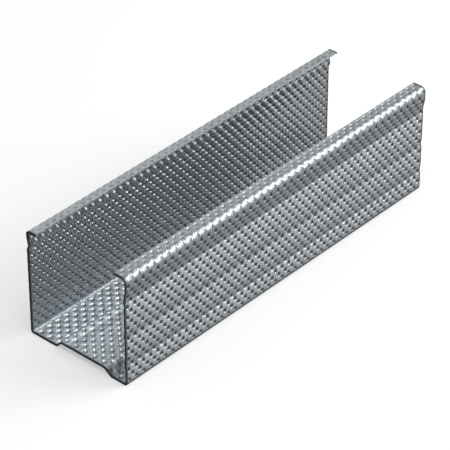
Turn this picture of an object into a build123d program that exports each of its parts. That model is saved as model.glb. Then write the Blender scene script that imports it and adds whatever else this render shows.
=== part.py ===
from build123d import *
import os

os.makedirs("parts", exist_ok=True)

# Steel stud: one strip of galvanised sheet cold-rolled to a channel with lips, lying on its web.
# X runs across the web, Y along the length, Z up; the origin is the middle of the footprint on the floor.

# Overall sizes of the section, outside to outside
LENGTH = 168.0
WEB_WIDTH = 48.8
WIDE_FLANGE = 47.2
NARROW_FLANGE = 45.4
WIDE_LIP = 5.9
NARROW_LIP = 4.6
GAUGE = 0.6

# Radii of the bends, measured on the middle of the sheet
FOLD_RADIUS = 0.9
ROUND_FOLD_RADIUS = 1.8
SWAGE_RADIUS = 0.7

# Raised panel rolled into the web: its feet are measured from the outer faces of the flanges
PANEL_RISE = 2.4
PANEL_FOOT_NARROW_SIDE = 13.0
PANEL_FOOT_WIDE_SIDE = 8.4
PANEL_STEP_NARROW_SIDE = 2.1
PANEL_STEP_WIDE_SIDE = 3.3

# Wide flange: a proud band under the lip slopes in slowly past the face and comes back to it sharply
BAND_HEIGHT = 5.2
BAND_PROUD = 0.65
BAND_SLOPE = 5.2
BAND_UNDERCUT = 0.2
BAND_RETURN = 1.2

# Narrow flange: a swage under the lip, also slow in and sharp out
SWAGE_TOP = 2.8
SWAGE_SLOPE = 3.7
SWAGE_DEPTH = 0.7
SWAGE_RETURN = 1.4

# Two screw-guide grooves along the wide flange: their bottoms' heights above the web's underside
GROOVE_HEIGHTS = (8.6, 21.2)
GROOVE_SLOPE = 2.8
GROOVE_DEPTH = 0.4
GROOVE_RETURN = 1.1


def narrow_flange_line(face, top):
    """Middle of the sheet from the narrow lip's free edge down to the web's corner."""
    down = [(-WEB_WIDTH / 2 + NARROW_LIP, top), (face, top)]
    swage_top = NARROW_FLANGE - SWAGE_TOP
    down += [(face, swage_top)]
    down += [(face + SWAGE_DEPTH, swage_top - SWAGE_SLOPE)]
    down += [(face, swage_top - SWAGE_SLOPE - SWAGE_RETURN)]
    return down


def wide_flange_line(face, top):
    """Middle of the sheet from the web's corner up to the wide lip's free edge."""
    up = []
    for height in GROOVE_HEIGHTS:
        up += [(face, height - GROOVE_RETURN)]
        up += [(face - GROOVE_DEPTH, height)]
        up += [(face, height + GROOVE_SLOPE)]
    band_foot = WIDE_FLANGE - BAND_HEIGHT
    up += [(face, band_foot - BAND_SLOPE - BAND_RETURN)]
    up += [(face - BAND_UNDERCUT, band_foot - BAND_SLOPE)]
    up += [(face + BAND_PROUD, band_foot)]
    up += [(face + BAND_PROUD, top), (WEB_WIDTH / 2 - WIDE_LIP, top)]
    return up


def web_line(narrow_face, wide_face, floor):
    """Middle of the sheet across the web, corner to corner over the raised panel."""
    foot_narrow = -WEB_WIDTH / 2 + PANEL_FOOT_NARROW_SIDE
    foot_wide = WEB_WIDTH / 2 - PANEL_FOOT_WIDE_SIDE
    line = [(narrow_face, floor), (foot_narrow, floor)]
    line += [(foot_narrow + PANEL_STEP_NARROW_SIDE, floor + PANEL_RISE)]
    line += [(foot_wide - PANEL_STEP_WIDE_SIDE, floor + PANEL_RISE)]
    line += [(foot_wide, floor), (wide_face, floor)]
    return line


def section():
    """The rolled section as one face in the XZ plane."""
    half = GAUGE / 2
    narrow_face = -WEB_WIDTH / 2 + half
    wide_face = WEB_WIDTH / 2 - half - BAND_PROUD
    narrow_top = NARROW_FLANGE - half
    wide_top = WIDE_FLANGE - half
    corners = narrow_flange_line(narrow_face, narrow_top)
    corners += web_line(narrow_face, wide_face, half)
    corners += wide_flange_line(wide_face, wide_top)
    round_fold = (wide_face + BAND_PROUD, wide_top)
    folds = [(narrow_face, narrow_top), (narrow_face, half), (wide_face, half)]
    radii = []
    for corner in corners[1:-1]:
        if corner == round_fold:
            radii.append(ROUND_FOLD_RADIUS)
        elif corner in folds:
            radii.append(FOLD_RADIUS)
        else:
            radii.append(SWAGE_RADIUS)
    line = FilletPolyline(*corners, radius=radii)
    return Plane.XZ * trace(line, GAUGE)


stud = extrude(section(), amount=LENGTH / 2, both=True)
export_step(stud, "parts/stud.step")
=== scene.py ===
import math

import bmesh
import bpy
import numpy as np
from mathutils import Euler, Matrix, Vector


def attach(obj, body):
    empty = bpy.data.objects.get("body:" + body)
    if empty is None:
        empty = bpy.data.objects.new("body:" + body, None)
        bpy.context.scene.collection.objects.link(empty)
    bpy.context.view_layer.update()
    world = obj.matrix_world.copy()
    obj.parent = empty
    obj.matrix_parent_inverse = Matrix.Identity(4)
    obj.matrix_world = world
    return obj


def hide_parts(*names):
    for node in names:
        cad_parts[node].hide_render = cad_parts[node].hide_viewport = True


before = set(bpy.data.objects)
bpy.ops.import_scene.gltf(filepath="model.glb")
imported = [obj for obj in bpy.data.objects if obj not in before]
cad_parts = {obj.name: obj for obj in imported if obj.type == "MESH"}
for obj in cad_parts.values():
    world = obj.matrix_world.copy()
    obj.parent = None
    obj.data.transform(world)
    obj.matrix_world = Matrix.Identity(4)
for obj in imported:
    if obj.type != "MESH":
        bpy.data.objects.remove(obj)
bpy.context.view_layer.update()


# Narrow flange and its lip
# The stud is one strip of galvanised sheet, dimpled from both sides between toothed rolls and then
# folded along its length by further rolls. This part is the lower flange: a plain lip turned in over
# the channel, with a shallow swage under it.
LENGTH, WEB_WIDTH, GAUGE = 0.168, 0.0488, 0.0006
NARROW_FLANGE, NARROW_LIP = 0.0454, 0.0046
FOLD_RADIUS, SWAGE_RADIUS = 0.0009, 0.0007
SWAGE_TOP, SWAGE_SLOPE, SWAGE_DEPTH, SWAGE_RETURN = 0.0028, 0.0037, 0.0007, 0.0014
NARROW_FACE = -WEB_WIDTH / 2 + GAUGE / 2
NARROW_TOP = NARROW_FLANGE - GAUGE / 2
SWAGE_START = NARROW_FLANGE - SWAGE_TOP
WEB_MIDDLE = GAUGE / 2


class RolledLine:
    """The middle of the sheet seen from the near end: corners rounded to their own radii."""

    def __init__(self, corners, radii):
        corners = [Vector(c) for c in corners]
        self.runs = []
        self.corners_at = [0.0]
        self.length = 0.0
        here = corners[0]
        for corner, beyond, radius in zip(corners[1:-1], corners[2:], radii):
            heading, turn = self.turn_at(here, corner, beyond)
            tangent = radius * math.tan(abs(turn) / 2)
            self.add_run(here, heading, (corner - here).length - tangent, 0.0)
            bend = math.copysign(1 / radius, turn)
            start = corner + (here - corner).normalized() * tangent
            self.corners_at.append(self.length + abs(turn) * radius / 2)
            self.add_run(start, heading, abs(turn) * radius, bend)
            here = corner + (beyond - corner).normalized() * tangent
        last = corners[-1] - here
        self.add_run(here, math.atan2(last.y, last.x), last.length, 0.0)
        self.corners_at.append(self.length)

    def turn_at(self, before, corner, beyond):
        """The heading into a corner, and how far the line turns there."""
        a, b = corner - before, beyond - corner
        heading = math.atan2(a.y, a.x)
        turn = math.atan2(b.y, b.x) - heading
        return heading, (turn + math.pi) % math.tau - math.pi

    def add_run(self, start, heading, length, bend):
        self.runs.append((self.length, start.x, start.y, heading, bend))
        self.length += length

    def at(self, length):
        """Points across and up, and the heading, at an array of lengths."""
        runs = np.array(self.runs)
        which = np.clip(np.searchsorted(runs[:, 0], length, side="right") - 1, 0, len(runs) - 1)
        begin, x, z, heading, bend = runs[which].T
        on = length - begin
        end = heading + bend * on
        tight = np.where(bend == 0, 1.0, bend)
        across = np.where(bend == 0, on * np.cos(heading), (np.sin(end) - np.sin(heading)) / tight)
        up = np.where(bend == 0, on * np.sin(heading), (np.cos(heading) - np.cos(end)) / tight)
        return x + across, z + up, end


# Each tooth leaves a round hollow on its side of the sheet and a low swelling on the other. The teeth
# of the two rolls stand in each other's gaps, so hollows and swellings alternate on both faces.
class Teeth:
    """Where a pair of rolls has its teeth on the strip, and how fine a mesh shows their marks."""

    def __init__(self, pitch_along, pitch_across, first_along, first_across, cell):
        self.pitch = np.array([pitch_along, pitch_across])
        self.first = np.array([first_along, first_across])
        # An even number of cells to a pitch gives both rolls' marks the same mesh
        self.cells = 2 * np.rint(self.pitch / cell / 2)

    def distance(self, along, across, shift):
        """How far points are from the nearest tooth of the roll that is shifted by so many pitches."""
        places = (np.stack([along, across], 1) - self.first) / self.pitch
        away = []
        for half in (0.0, 0.5):
            beside = (places - (half + shift, half) + 0.5) % 1.0 - 0.5
            away.append(np.linalg.norm(beside * self.pitch, axis=1))
        return np.minimum(*away)


SWELL_REACH = 0.0014


class Dent:
    """The hollow in a tooth's own face, the shade painted into it, and the other face's swellings."""

    def __init__(self, reach, bottom, depth, dull, swell):
        self.reach, self.bottom, self.depth = reach, bottom, depth
        self.dull, self.swell = dull, swell

    def hollow(self, away):
        """Share of the hollow's depth: part of a ball, or a blunt cone where it has a bottom."""
        if self.bottom:
            return np.clip((self.reach - away) / (self.reach - self.bottom), 0.0, 1.0)
        radius = (self.reach ** 2 + self.depth ** 2) / (2 * self.depth)
        ball = np.sqrt(np.clip(radius ** 2 - away ** 2, (radius - self.depth) ** 2, None))
        return (ball - radius + self.depth) / self.depth

    def swelling(self, away):
        share = np.clip(away / SWELL_REACH, 0.0, 1.0)
        return (0.5 + 0.5 * np.cos(math.pi * share)) * self.swell


class Zone:
    """A stretch of the rolled line, and the share of their height that the dimples have there."""

    def __init__(self, begin, end, fade, share):
        self.begin, self.end, self.fade, self.share = begin, end, fade, share

    def beyond(self, on):
        """How far outside the stretch points are, against the width over which it fades out."""
        return np.maximum(self.begin - on, on - self.end) / self.fade


# The shear flattens the dimples at the ends, and the faces there are made near black. Shade is
# painted into the zinc toward the far end, most of all on the inside.
SHEAR_REACH, SHEAR_LEAVES = 0.0011, 0.12
END_BLACK_WIDTH, END_BLACK_REACH, END_BLACK_TONE = 0.00045, 0.0006, 0.01
FAR_SHADE_OUTSIDE, FAR_SHADE_INSIDE = 0.85, 0.42
NORMAL_STEP = 0.00002


class DimpledSheet:
    """A piece of the strip: places a flat slab's points on the rolled line, with the dimples.

    across_start is how far before the piece its rows of teeth begin, so that they run on from its
    neighbour's. quiet and raised are its zones, the latter on the inside alone. outside and inside
    give the light and shade painted into each face, at the line's ends and at each of its corners.
    """

    def __init__(self, line, teeth, dents, across_start, quiet, outside, inside, raised=()):
        self.line, self.teeth, self.dents = line, teeth, dents
        self.across_start = across_start
        self.quiet, self.raised = quiet, raised
        self.outside, self.inside = outside, inside

    def rows(self):
        """Where the mesh's rows lie across the strip: at its seams, and in step with the teeth."""
        cell = self.teeth.pitch[1] / self.teeth.cells[1]
        first = (self.teeth.first[1] - self.across_start) % cell
        between = np.arange(first, self.line.length, cell)
        between = between[(between > cell / 3) & (between < self.line.length - cell / 3)]
        return np.concatenate([[0.0], between, [self.line.length]])

    def painted_light_and_rub(self, on, along, inner):
        """Painted light and shade at each point, darker toward the far end; faces near the ends go
        near black.
        """
        outside = np.interp(on, self.line.corners_at, self.outside)
        inside = np.interp(on, self.line.corners_at, self.inside)
        share = along / LENGTH + 0.5
        # Painted shade, darker toward the far end
        far_shade = 1.0 + share ** 2 * (np.where(inner > 0, FAR_SHADE_INSIDE, FAR_SHADE_OUTSIDE) - 1.0)
        tone = np.where(inner > 0, inside, outside) * far_shade
        # Faces close to the ends go near black
        end_falloff = (LENGTH / 2 - abs(along) - END_BLACK_WIDTH) / END_BLACK_REACH
        return tone * np.clip(end_falloff, END_BLACK_TONE, 1.0)

    def loud(self, on):
        """Share of the dimples' depth that the folding rolls left, and zero where they left none."""
        left = np.ones(len(on))
        for zone in self.quiet:
            left = left * np.clip(zone.beyond(on), zone.share, 1.0)
        return left

    def relief(self, on, along, inner):
        """How far the dimples move the face towards the inside, and how deep its own ones are."""
        rise = np.ones(len(on))
        for zone in self.raised:
            within = 1.0 - np.clip(zone.beyond(on), 0.0, 1.0)
            rise = np.where(inner > 0, rise + within * (zone.share - 1.0), rise)
        moved, press = np.zeros(len(on)), np.zeros(len(on))
        for dent, side, shift in zip(self.dents, (-1.0, 1.0), (0.0, 0.5)):
            places = along + LENGTH / 2, on + self.across_start
            hollow = dent.hollow(self.teeth.distance(*places, shift))
            swelling = dent.swelling(self.teeth.distance(*places, 0.5 - shift))
            here = inner == side
            moved[here] = side * (swelling * rise - hollow * dent.depth)[here]
            press[here] = hollow[here]
        end_falloff = np.clip((LENGTH / 2 - abs(along)) / SHEAR_REACH, SHEAR_LEAVES, 1.0)
        return moved * end_falloff * self.loud(on), press

    def place(self, on, along, inner):
        across, up, heading = self.line.at(on)
        offset = inner * GAUGE / 2 + self.relief(on, along, inner)[0]
        x = across - np.sin(heading) * offset
        return np.stack([x, along, up + np.cos(heading) * offset], 1)

    def normal(self, on, along, inner):
        """The surface's own direction at each point, read from the relief itself."""
        step = NORMAL_STEP
        over = self.place(on + step, along, inner) - self.place(on - step, along, inner)
        ahead = self.place(on, along + step, inner) - self.place(on, along - step, inner)
        out = np.cross(over, ahead) * inner[:, None]
        return out / np.linalg.norm(out, axis=1)[:, None]


# Hot-dip zinc, rolled after coating: blue-grey, satin, faintly mottled, with fine drag marks along the
# length. Shade is painted into the bottom of the dimples, and light and shade along the rolled line.
# The zinc is flecked where the folding rolls rubbed it.
class Wire:
    """An output in a material's nodes. Sums on it add their Math nodes."""

    def __init__(self, tree, socket=None):
        self.tree, self.socket = tree, socket

    def node(self, kind, settings, inputs, output=0):
        """Adds a node of a type, with its settings, then the values or wires of its sockets."""
        made = self.tree.nodes.new(kind)
        for name, value in settings.items():
            setattr(made, name, value)
        for name, value in inputs.items():
            if isinstance(value, Wire):
                self.tree.links.new(value.socket, made.inputs[name])
            else:
                made.inputs[name].default_value = value
        return Wire(self.tree, made.outputs[output] if made.outputs else None)

    def sum(self, operation, a, b):
        return self.node("ShaderNodeMath", {"operation": operation}, {0: a, 1: b})

    def __add__(self, other):
        return self.sum("ADD", self, other)

    def __sub__(self, other):
        return self.sum("SUBTRACT", self, other)

    def __rsub__(self, other):
        return self.sum("SUBTRACT", other, self)

    def __mul__(self, other):
        return self.sum("MULTIPLY", self, other)

    __radd__ = __add__
    __rmul__ = __mul__


def new_material(name):
    """An empty material and the wire that its nodes start from."""
    material = bpy.data.materials.new(name)
    material.use_nodes = True
    material.node_tree.nodes.clear()
    return material, Wire(material.node_tree)


def finish_material(wire, surface):
    wire.node("ShaderNodeOutputMaterial", {}, {"Surface": surface})


def noise(wire, place, size, detail, rough=0.5):
    """Noise whose patches are about as large as size, in metres."""
    inputs = {"Vector": place, "Scale": 1 / size, "Detail": detail, "Roughness": rough}
    return wire.node("ShaderNodeTexNoise", {}, inputs)


def mix_colours(wire, share, first, second, **settings):
    shades = {0: share, 6: first, 7: second}
    return wire.node("ShaderNodeMix", {"data_type": "RGBA", **settings}, shades, 2)


ZINC_LIGHT = (0.488, 0.525, 0.552, 1.0)
ZINC_DARK = (0.367, 0.395, 0.417, 1.0)
# Painted shade at the bottom of the dimples
ZINC_HOLLOW_SHADE = (0.03, 0.033, 0.036, 1.0)
# Painted shade: the colour the zinc darkens toward where it is painted darker
ZINC_PAINTED_SHADE = (0.05, 0.054, 0.058, 1.0)
ZINC_METAL = 0.8
CLOUD_SIZE, STREAK_SIZE, FLECK_SIZE, SPANGLES_PER_METRE = 0.0022, 0.0005, 0.0007, 650.0
STREAK_STRETCH = (1.0, 0.12, 1.0)
CLOUD_SHARE, STREAK_SHARE, SPANGLE_SHARE = 0.4, 0.3, 0.3
MOTTLE_DARKEST, MOTTLE_LIGHTEST = 0.36, 0.64
HOLLOW_SHADE_FROM, HOLLOW_SHADE_TO = 0.25, 0.55
ROUGH, STREAK_ROUGH, RUBBED_SMOOTH, RUBBED_FULLY = 0.52, 0.12, 0.30, 0.25
GRAIN_HEIGHT, FLECK_HEIGHT = 0.22, 9.0


def zinc_material():
    material, wire = new_material("galvanised_sheet")
    loud = wire.node("ShaderNodeAttribute", {"attribute_name": "loud"}, {}, "Fac")
    press = wire.node("ShaderNodeAttribute", {"attribute_name": "press"}, {}, "Fac")
    painted_light_and_rub = wire.node("ShaderNodeAttribute", {"attribute_name": "painted_light_and_rub"}, {}, "Fac")
    dulled = wire.node("ShaderNodeAttribute", {"attribute_name": "dulled"}, {}, "Fac")
    # Painted shade: the zinc is darkened toward the bottom of the dimples' hollows
    dull = dulled * wire.node(
        "ShaderNodeMapRange",
        {"interpolation_type": "SMOOTHSTEP"},
        {"Value": press, "From Min": HOLLOW_SHADE_FROM, "From Max": HOLLOW_SHADE_TO},
    )
    place = wire.node("ShaderNodeTexCoord", {}, {}, "Object")
    drag = wire.node("ShaderNodeMapping", {}, {"Vector": place, "Scale": STREAK_STRETCH})
    cloud = noise(wire, place, CLOUD_SIZE, detail=3.0, rough=0.6)
    streak = noise(wire, drag, STREAK_SIZE, detail=3.0, rough=0.6)
    cells = {"Vector": place, "Scale": SPANGLES_PER_METRE}
    spangle = wire.node("ShaderNodeTexVoronoi", {}, cells, "Color")
    fleck = noise(wire, place, FLECK_SIZE, detail=1.0) * (1.0 - loud)
    mottle = cloud * CLOUD_SHARE + streak * STREAK_SHARE + spangle * SPANGLE_SHARE
    limits = {"Value": mottle, "From Min": MOTTLE_DARKEST, "From Max": MOTTLE_LIGHTEST}
    share = wire.node("ShaderNodeMapRange", {}, limits)
    colour = mix_colours(wire, share, ZINC_DARK, ZINC_LIGHT)
    # Painted shade mixed in at the bottom of the dimples
    colour = mix_colours(wire, dull, colour, ZINC_HOLLOW_SHADE)
    # Painted light and shade: brighter or darker than the zinc itself along the rolled line
    colour = mix_colours(wire, painted_light_and_rub, ZINC_PAINTED_SHADE, colour, clamp_factor=False)
    rubbed = wire.node("ShaderNodeMapRange", {}, {"Value": painted_light_and_rub, "From Max": RUBBED_FULLY})
    height = (streak + cloud) * GRAIN_HEIGHT + fleck * FLECK_HEIGHT
    grain = {"Height": height, "Strength": 0.5, "Distance": 0.0001}
    finish = {
        "Base Color": colour,
        "Metallic": ZINC_METAL,
        "Roughness": ROUGH + streak * STREAK_ROUGH - rubbed * RUBBED_SMOOTH,
        "Normal": wire.node("ShaderNodeBump", {}, grain),
    }
    finish_material(wire, wire.node("ShaderNodeBsdfPrincipled", {}, finish))
    return material


# The ends are sheared through to bare steel, whose faces are coloured near black and matt
CUT_FACE_COLOUR = (0.005, 0.005, 0.006, 1.0)
TEAR_SIZE, TEAR_ROUGH, TORN_ROUGHER = 0.0003, 0.6, 0.3


def cut_material():
    material, wire = new_material("sheared_edge")
    place = wire.node("ShaderNodeTexCoord", {}, {}, "Object")
    tear = noise(wire, place, TEAR_SIZE, detail=2.0)
    grain = {"Height": tear, "Strength": 0.4, "Distance": 0.0001}
    finish = {
        "Base Color": CUT_FACE_COLOUR,
        "Roughness": TEAR_ROUGH + tear * TORN_ROUGHER,
        "Specular IOR Level": 0.1,
        "Normal": wire.node("ShaderNodeBump", {}, grain),
    }
    finish_material(wire, wire.node("ShaderNodeBsdfPrincipled", {}, finish))
    return material


ZINC = zinc_material()
CUT = cut_material()
# How much painted shade stays in the hollows where the folds left them shallow
LEAST_HOLLOW_SHADE = 0.3


def roll_sheet(name, sheet):
    """Makes a slab of sheet, rolls it with its dimples and dresses it as a piece of the stud."""
    cells_along = round(LENGTH / sheet.teeth.pitch[0] * sheet.teeth.cells[0])
    rows = sheet.rows()
    cells_across = len(rows) - 1
    bm = bmesh.new()
    bmesh.ops.create_grid(bm, x_segments=cells_across, y_segments=cells_along, size=0.5)
    bmesh.ops.solidify(bm, geom=bm.faces[:], thickness=1.0)
    for face in bm.faces:
        face.smooth = abs(face.normal.z) > 0.5
        face.material_index = 1 if abs(face.normal.y) > 0.5 else 0
    mesh = bpy.data.meshes.new(name)
    bm.to_mesh(mesh)
    bm.free()

    flat = np.empty(len(mesh.vertices) * 3)
    mesh.vertices.foreach_get("co", flat)
    flat = flat.reshape(-1, 3)
    on = rows[np.rint((flat[:, 0] + 0.5) * cells_across).astype(int)]
    along = flat[:, 1] * LENGTH
    inner = np.where(flat[:, 2] > flat[:, 2].mean(), 1.0, -1.0)
    mesh.vertices.foreach_set("co", sheet.place(on, along, inner).ravel())
    loud = sheet.loud(on)
    # Shade painted into each face's dimple hollows
    dulls = np.where(inner > 0, sheet.dents[1].dull, sheet.dents[0].dull)
    marks = {
        "loud": loud,
        "press": sheet.relief(on, along, inner)[1],
        "dulled": dulls * np.maximum(loud, LEAST_HOLLOW_SHADE),
        # Painted light and shade for each point
        "painted_light_and_rub": sheet.painted_light_and_rub(on, along, inner),
    }
    for mark, values in marks.items():
        mesh.attributes.new(mark, "FLOAT", "POINT").data.foreach_set("value", values)
    normals = sheet.normal(on, along, inner)

    corner_vertex = np.empty(len(mesh.loops), np.int32)
    mesh.loops.foreach_get("vertex_index", corner_vertex)
    smooth = np.empty(len(mesh.polygons), bool)
    mesh.polygons.foreach_get("use_smooth", smooth)
    corner_normals = normals[corner_vertex]
    corner_normals[np.repeat(~smooth, 4)] = 0.0
    mesh.normals_split_custom_set(corner_normals)
    mesh.update()

    piece = bpy.data.objects.new(name, mesh)
    bpy.context.scene.collection.objects.link(piece)
    mesh.materials.append(ZINC)
    mesh.materials.append(CUT)
    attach(piece, "root")
    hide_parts("stud")


SEAM_FADE = 0.0008
# The fourth figure of each dent is how much shade is painted into its hollows
CUP = Dent(reach=0.00108, bottom=0.0, depth=0.00053, dull=0.95, swell=0.00016)
NARROW_PIT = Dent(reach=0.00091, bottom=0.0, depth=0.00053, dull=0.42, swell=0.00002)
narrow_teeth = Teeth(
    pitch_along=LENGTH / 45.7,
    pitch_across=0.0043,
    first_along=0.00377,
    first_across=0.0016,
    cell=0.00045,
)
narrow_corners = [
    (-WEB_WIDTH / 2 + NARROW_LIP, NARROW_TOP),
    (NARROW_FACE, NARROW_TOP),
    (NARROW_FACE, SWAGE_START),
    (NARROW_FACE + SWAGE_DEPTH, SWAGE_START - SWAGE_SLOPE),
    (NARROW_FACE, SWAGE_START - SWAGE_SLOPE - SWAGE_RETURN),
    (NARROW_FACE, WEB_MIDDLE + FOLD_RADIUS),
]
narrow_line = RolledLine(narrow_corners, [FOLD_RADIUS] + [SWAGE_RADIUS] * 3)
narrow_flange = DimpledSheet(
    narrow_line,
    narrow_teeth,
    dents=(CUP, NARROW_PIT),
    across_start=0.0,
    quiet=[
        Zone(begin=0.0, end=0.0056, fade=0.0010, share=0.3),
        Zone(begin=0.0, end=0.0006, fade=0.0006, share=0.0),
        Zone(begin=narrow_line.length, end=narrow_line.length, fade=SEAM_FADE, share=0.0),
    ],
    # Painted light on the lip and its fold, painted shade at the foot; inside, painted shade on the
    # wall
    outside=[1.45, 1.35, 1.0, 1.0, 1.0, 0.8],
    inside=[1.1, 0.75, 0.75, 0.84, 0.84, 0.84],
    raised=[Zone(begin=0.0068, end=0.0170, fade=0.0012, share=12.0)],
)
roll_sheet("narrow_flange", narrow_flange)

# Web
# The floor of the channel, of the same dimpled sheet: two flat strips either side of a panel that is
# rolled up along its length. Its underside has no swellings, so that it lies flat. It is made in two
# pieces that meet on the panel.
PANEL_RISE = 0.0024
PANEL_FROM_NARROW_SIDE, PANEL_FROM_WIDE_SIDE = 0.0130, 0.0084
FOOT_NARROW_SIDE = -WEB_WIDTH / 2 + PANEL_FROM_NARROW_SIDE
FOOT_WIDE_SIDE = WEB_WIDTH / 2 - PANEL_FROM_WIDE_SIDE
STEP_NARROW_SIDE, STEP_WIDE_SIDE = 0.0021, 0.0033
BAND_PROUD = 0.00065
WIDE_FACE = WEB_WIDTH / 2 - GAUGE / 2 - BAND_PROUD
PANEL_TOP = WEB_MIDDLE + PANEL_RISE
# Across the panel: where a highlight is painted brightest into the zinc, the darker stretch painted
# beside that, where that stretch ends and where the two pieces meet
PAINTED_GLARE, DARKER_BESIDE_GLARE, DARKER_END, PANEL_MIDDLE = -0.0073, -0.0043, -0.0028, 0.0020
FOLD_LENGTH = FOLD_RADIUS * math.pi / 2
# The fourth figure is the shade painted into the hollows
WEB_CUP = Dent(reach=0.00108, bottom=0.0, depth=0.00053, dull=0.95, swell=0.0)
WEB_PIT = Dent(reach=0.00114, bottom=0.00050, depth=0.00047, dull=0.45, swell=0.00007)
web_teeth = Teeth(
    pitch_along=LENGTH / 38,
    pitch_across=0.00465,
    first_along=0.00205,
    first_across=0.00119,
    cell=0.00035,
)
web_corners_narrow_side = [
    (NARROW_FACE, WEB_MIDDLE + FOLD_RADIUS),
    (NARROW_FACE, WEB_MIDDLE),
    (FOOT_NARROW_SIDE, WEB_MIDDLE),
    (FOOT_NARROW_SIDE + STEP_NARROW_SIDE, PANEL_TOP),
    (PAINTED_GLARE, PANEL_TOP),
    (DARKER_BESIDE_GLARE, PANEL_TOP),
    (DARKER_END, PANEL_TOP),
    (PANEL_MIDDLE, PANEL_TOP),
]
web_line_narrow_side = RolledLine(web_corners_narrow_side, [FOLD_RADIUS] + [SWAGE_RADIUS] * 5)
web_narrow_side = DimpledSheet(
    web_line_narrow_side,
    web_teeth,
    dents=(WEB_CUP, WEB_PIT),
    across_start=0.0,
    quiet=[Zone(begin=0.0, end=FOLD_LENGTH, fade=SEAM_FADE, share=0.0)],
    # Painted shadow at the fold outside; painted light inside, brightest by the panel's edge
    outside=[0.6, 0.3, 1.0, 1.0, 1.0, 1.0, 1.0, 1.0],
    inside=[1.6, 1.6, 1.55, 1.2, 2.2, 0.95, 1.55, 1.55],
)
roll_sheet("web_narrow_side", web_narrow_side)

web_corners_wide_side = [
    (PANEL_MIDDLE, PANEL_TOP),
    (FOOT_WIDE_SIDE - STEP_WIDE_SIDE, PANEL_TOP),
    (FOOT_WIDE_SIDE, WEB_MIDDLE),
    (WIDE_FACE, WEB_MIDDLE),
    (WIDE_FACE, WEB_MIDDLE + FOLD_RADIUS),
]
web_line_wide_side = RolledLine(web_corners_wide_side, [SWAGE_RADIUS] * 2 + [FOLD_RADIUS])
web_end = web_line_wide_side.length
web_wide_side = DimpledSheet(
    web_line_wide_side,
    web_teeth,
    dents=(WEB_CUP, WEB_PIT),
    across_start=web_line_narrow_side.length,
    quiet=[Zone(begin=web_end - FOLD_LENGTH, end=web_end, fade=SEAM_FADE, share=0.0)],
    # Painted shadow at the wide flange's foot outside; painted light inside
    outside=[1.0, 1.0, 1.0, 0.03, 0.05],
    inside=[1.55, 1.55, 0.85, 1.5, 1.5],
)
roll_sheet("web_wide_side", web_wide_side)

# Wide flange
# The taller flange, folded up from the web in the same sheet: two screw-guide grooves are rolled into
# it, and a proud band under the lip. Shade is painted into its zinc on the grooves' upper slopes and
# over the proud band, light between them, and a painted shadow darkens its foot.
# It is made in two pieces that meet between the grooves.
WIDE_FLANGE, ROUND_FOLD_RADIUS = 0.0472, 0.0018
GROOVE_HEIGHTS = (0.0086, 0.0212)
GROOVE_SLOPE, GROOVE_DEPTH, GROOVE_RETURN = 0.0028, 0.0004, 0.0011
BAND_HEIGHT, BAND_SLOPE, BAND_UNDERCUT, BAND_RETURN = 0.0052, 0.0052, 0.0002, 0.0012
WIDE_TOP = WIDE_FLANGE - GAUGE / 2
BAND_FACE = WIDE_FACE + BAND_PROUD
BAND_FOOT = WIDE_FLANGE - BAND_HEIGHT
HEEL_TOP, FLANGE_MIDDLE = 0.0024, 0.0180
ROUND_FOLD_LENGTH = ROUND_FOLD_RADIUS * math.pi / 2
ROUND_QUIET, ROUND_FADE, ROUND_LEAST = 0.0004, 0.0009, 0.5
# The fourth figure is the shade painted into the hollows
PIT = Dent(reach=0.00098, bottom=0.0, depth=0.00052, dull=0.62, swell=0.00007)
wide_teeth = Teeth(
    pitch_along=LENGTH / 44.3,
    pitch_across=0.00462,
    first_along=0.0014,
    first_across=0.00106,
    cell=0.00032,
)
grooves = []
for bottom in GROOVE_HEIGHTS:
    groove = [(WIDE_FACE, bottom - GROOVE_RETURN), (WIDE_FACE - GROOVE_DEPTH, bottom)]
    grooves.append(groove + [(WIDE_FACE, bottom + GROOVE_SLOPE)])
lower_corners = [(WIDE_FACE, WEB_MIDDLE + FOLD_RADIUS), (WIDE_FACE, HEEL_TOP)] + grooves[0]
lower_corners.append((WIDE_FACE, FLANGE_MIDDLE))
lower_line = RolledLine(lower_corners, [SWAGE_RADIUS] * 4)
wide_flange_lower = DimpledSheet(
    lower_line,
    wide_teeth,
    dents=(CUP, PIT),
    across_start=0.0,
    quiet=[Zone(begin=0.0, end=0.0, fade=SEAM_FADE, share=0.0)],
    # Painted shadow darkens the foot; painted shade and light run in bands over the groove
    outside=[0.05, 0.60, 0.88, 0.33, 0.52, 0.78],
    inside=[1.35] * 6,
)
roll_sheet("wide_flange_lower", wide_flange_lower)

upper_corners = [(WIDE_FACE, FLANGE_MIDDLE)] + grooves[1] + [
    (WIDE_FACE, BAND_FOOT - BAND_SLOPE - BAND_RETURN),
    (WIDE_FACE - BAND_UNDERCUT, BAND_FOOT - BAND_SLOPE),
    (BAND_FACE, BAND_FOOT),
    (BAND_FACE, WIDE_TOP - ROUND_FOLD_RADIUS),
]
upper_line = RolledLine(upper_corners, [SWAGE_RADIUS] * 6)
fold_quiet = upper_line.length + ROUND_QUIET
fold_end = upper_line.length + ROUND_FOLD_LENGTH
wide_flange_upper = DimpledSheet(
    upper_line,
    wide_teeth,
    dents=(CUP, PIT),
    across_start=lower_line.length,
    quiet=[Zone(begin=fold_quiet, end=fold_end, fade=ROUND_FADE, share=ROUND_LEAST)],
    # Painted shade and light in bands over the groove and the proud band
    outside=[0.78, 0.86, 0.35, 0.58, 0.90, 0.33, 0.28, 0.45],
    inside=[1.35] * 8,
)
roll_sheet("wide_flange_upper", wide_flange_upper)

# Wide lip
# The same sheet turns in over the channel round a larger fold, whose rolls rubbed its dimples shallow
# and its zinc smooth. Light is painted into its zinc toward the free edge, and shade where the fold
# begins. It ends in a free edge.
WIDE_LIP, LIP_EDGE_WIDTH = 0.0059, 0.0004
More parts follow.
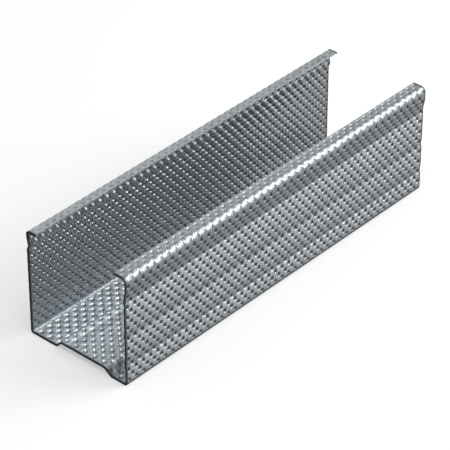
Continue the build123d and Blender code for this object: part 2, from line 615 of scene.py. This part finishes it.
# The fourth figure is the shade painted into the hollows
LIP_CUP = Dent(reach=0.00108, bottom=0.0, depth=0.00053, dull=0.45, swell=0.00016)
lip_corners = [
    (BAND_FACE, WIDE_TOP - ROUND_FOLD_RADIUS),
    (BAND_FACE, WIDE_TOP),
    (WEB_WIDTH / 2 - WIDE_LIP, WIDE_TOP),
]
lip_line = RolledLine(lip_corners, [ROUND_FOLD_RADIUS])
rounded = ROUND_FOLD_LENGTH - ROUND_QUIET
lip_edge = lip_line.length - LIP_EDGE_WIDTH
wide_lip = DimpledSheet(
    lip_line,
    wide_teeth,
    dents=(LIP_CUP, PIT),
    across_start=lower_line.length + upper_line.length,
    quiet=[
        Zone(begin=ROUND_QUIET, end=rounded, fade=ROUND_FADE, share=ROUND_LEAST),
        Zone(begin=ROUND_FOLD_LENGTH, end=lip_line.length, fade=SEAM_FADE, share=0.62),
        Zone(begin=lip_edge, end=lip_line.length, fade=SEAM_FADE, share=0.0),
    ],
    # Painted shade where the fold begins and painted light toward the free edge
    outside=[0.45, 1.0, 1.3],
    inside=[1.0, 1.0, 1.0],
)
roll_sheet("wide_lip", wide_lip)


# Floor
# A plain white table under the stud. It is lit like the stud and keeps its shadow, and it glows to
# the camera and in the zinc's reflections, which makes it white there.
FLOOR_SIZE = 8.0
FLOOR_PAINT = (0.60, 0.60, 0.60, 1.0)
FLOOR_GLOW = 0.38


def floor_material():
    material, wire = new_material("floor")
    paint = wire.node("ShaderNodeBsdfDiffuse", {}, {"Color": FLOOR_PAINT})
    white = {"Color": (1.0, 1.0, 1.0, 1.0), "Strength": FLOOR_GLOW}
    glow = wire.node("ShaderNodeEmission", {}, white)
    unlit = wire.node("ShaderNodeEmission", {}, {"Strength": 0.0})
    path = wire.tree.nodes.new("ShaderNodeLightPath")
    seen = Wire(wire.tree, path.outputs["Is Camera Ray"])
    for ray in ("Is Glossy Ray", "Is Transmission Ray"):
        seen = seen + Wire(wire.tree, path.outputs[ray])
    glow = wire.node("ShaderNodeMixShader", {}, {0: seen, 1: unlit, 2: glow})
    finish_material(wire, wire.node("ShaderNodeAddShader", {}, {0: paint, 1: glow}))
    return material


bm = bmesh.new()
bmesh.ops.create_grid(bm, x_segments=1, y_segments=1, size=FLOOR_SIZE / 2)
floor_mesh = bpy.data.meshes.new("floor")
bm.to_mesh(floor_mesh)
bm.free()
floor = bpy.data.objects.new("floor", floor_mesh)
bpy.context.scene.collection.objects.link(floor)
floor_mesh.materials.append(floor_material())


# Light
# An even pale surround and six softboxes. Four stand behind the stud on the right, from low to high,
# one of them close by; one stands straight behind it, and one over its near end.
STUD_MIDDLE, NEAR_HALF, NARROW_SIDE = (0.0, 0.0, 0.03), (0.0, -0.05, 0.0), (-0.03, -0.06, 0.0)
SURROUND = 0.52


def softbox(name, place, aim, width, height, radiance):
    """A rectangular lamp facing aim whose face shows that radiance."""
    lamp = bpy.data.lights.new(name, "AREA")
    lamp.shape = "RECTANGLE"
    lamp.size, lamp.size_y = width, height
    lamp.energy = radiance * math.pi * width * height
    holder = bpy.data.objects.new(name, lamp)
    holder.visible_camera = False
    bpy.context.scene.collection.objects.link(holder)
    holder.location = place
    holder.rotation_euler = (Vector(aim) - Vector(place)).to_track_quat("-Z", "Y").to_euler()


softbox("softbox_low", (0.95, 1.25, 0.42), STUD_MIDDLE, width=1.3, height=0.84, radiance=4.2)
softbox("softbox_mid", (0.93, 0.82, 0.90), STUD_MIDDLE, width=0.9, height=0.42, radiance=3.0)
softbox("softbox_high", (0.775, 0.31, 0.93), STUD_MIDDLE, width=0.5, height=0.42, radiance=1.4)
softbox("softbox_near", (0.228, 0.235, 0.286), NARROW_SIDE, width=0.11, height=0.20, radiance=2.0)
softbox("softbox_back", (0.21, 0.79, 0.88), STUD_MIDDLE, width=0.5, height=0.3, radiance=3.5)
softbox("softbox_over", (0.22, -0.30, 1.15), NEAR_HALF, width=0.5, height=0.4, radiance=5.0)

world = bpy.data.worlds.new("surround")
bpy.context.scene.world = world
world.use_nodes = True
background = world.node_tree.nodes["Background"]
background.inputs["Color"].default_value = (1.0, 1.0, 1.0, 1.0)
background.inputs["Strength"].default_value = SURROUND

# Camera
# A long lens from the near right corner, held level, looking down into the channel.
SENSOR_WIDTH, LENS = 36.0, 210.8
VIEWPOINT = (0.5387, -0.61114, 0.58285)
TILT, TURN = math.radians(55.137), math.radians(41.618)
camera = bpy.data.cameras.new("camera")
camera.sensor_width = SENSOR_WIDTH
camera.lens = LENS
viewer = bpy.data.objects.new("camera", camera)
bpy.context.scene.collection.objects.link(viewer)
viewer.location = VIEWPOINT
viewer.rotation_euler = Euler((TILT, 0.0, TURN))
bpy.context.scene.camera = viewer
bpy.context.scene.view_settings.view_transform = "Standard"
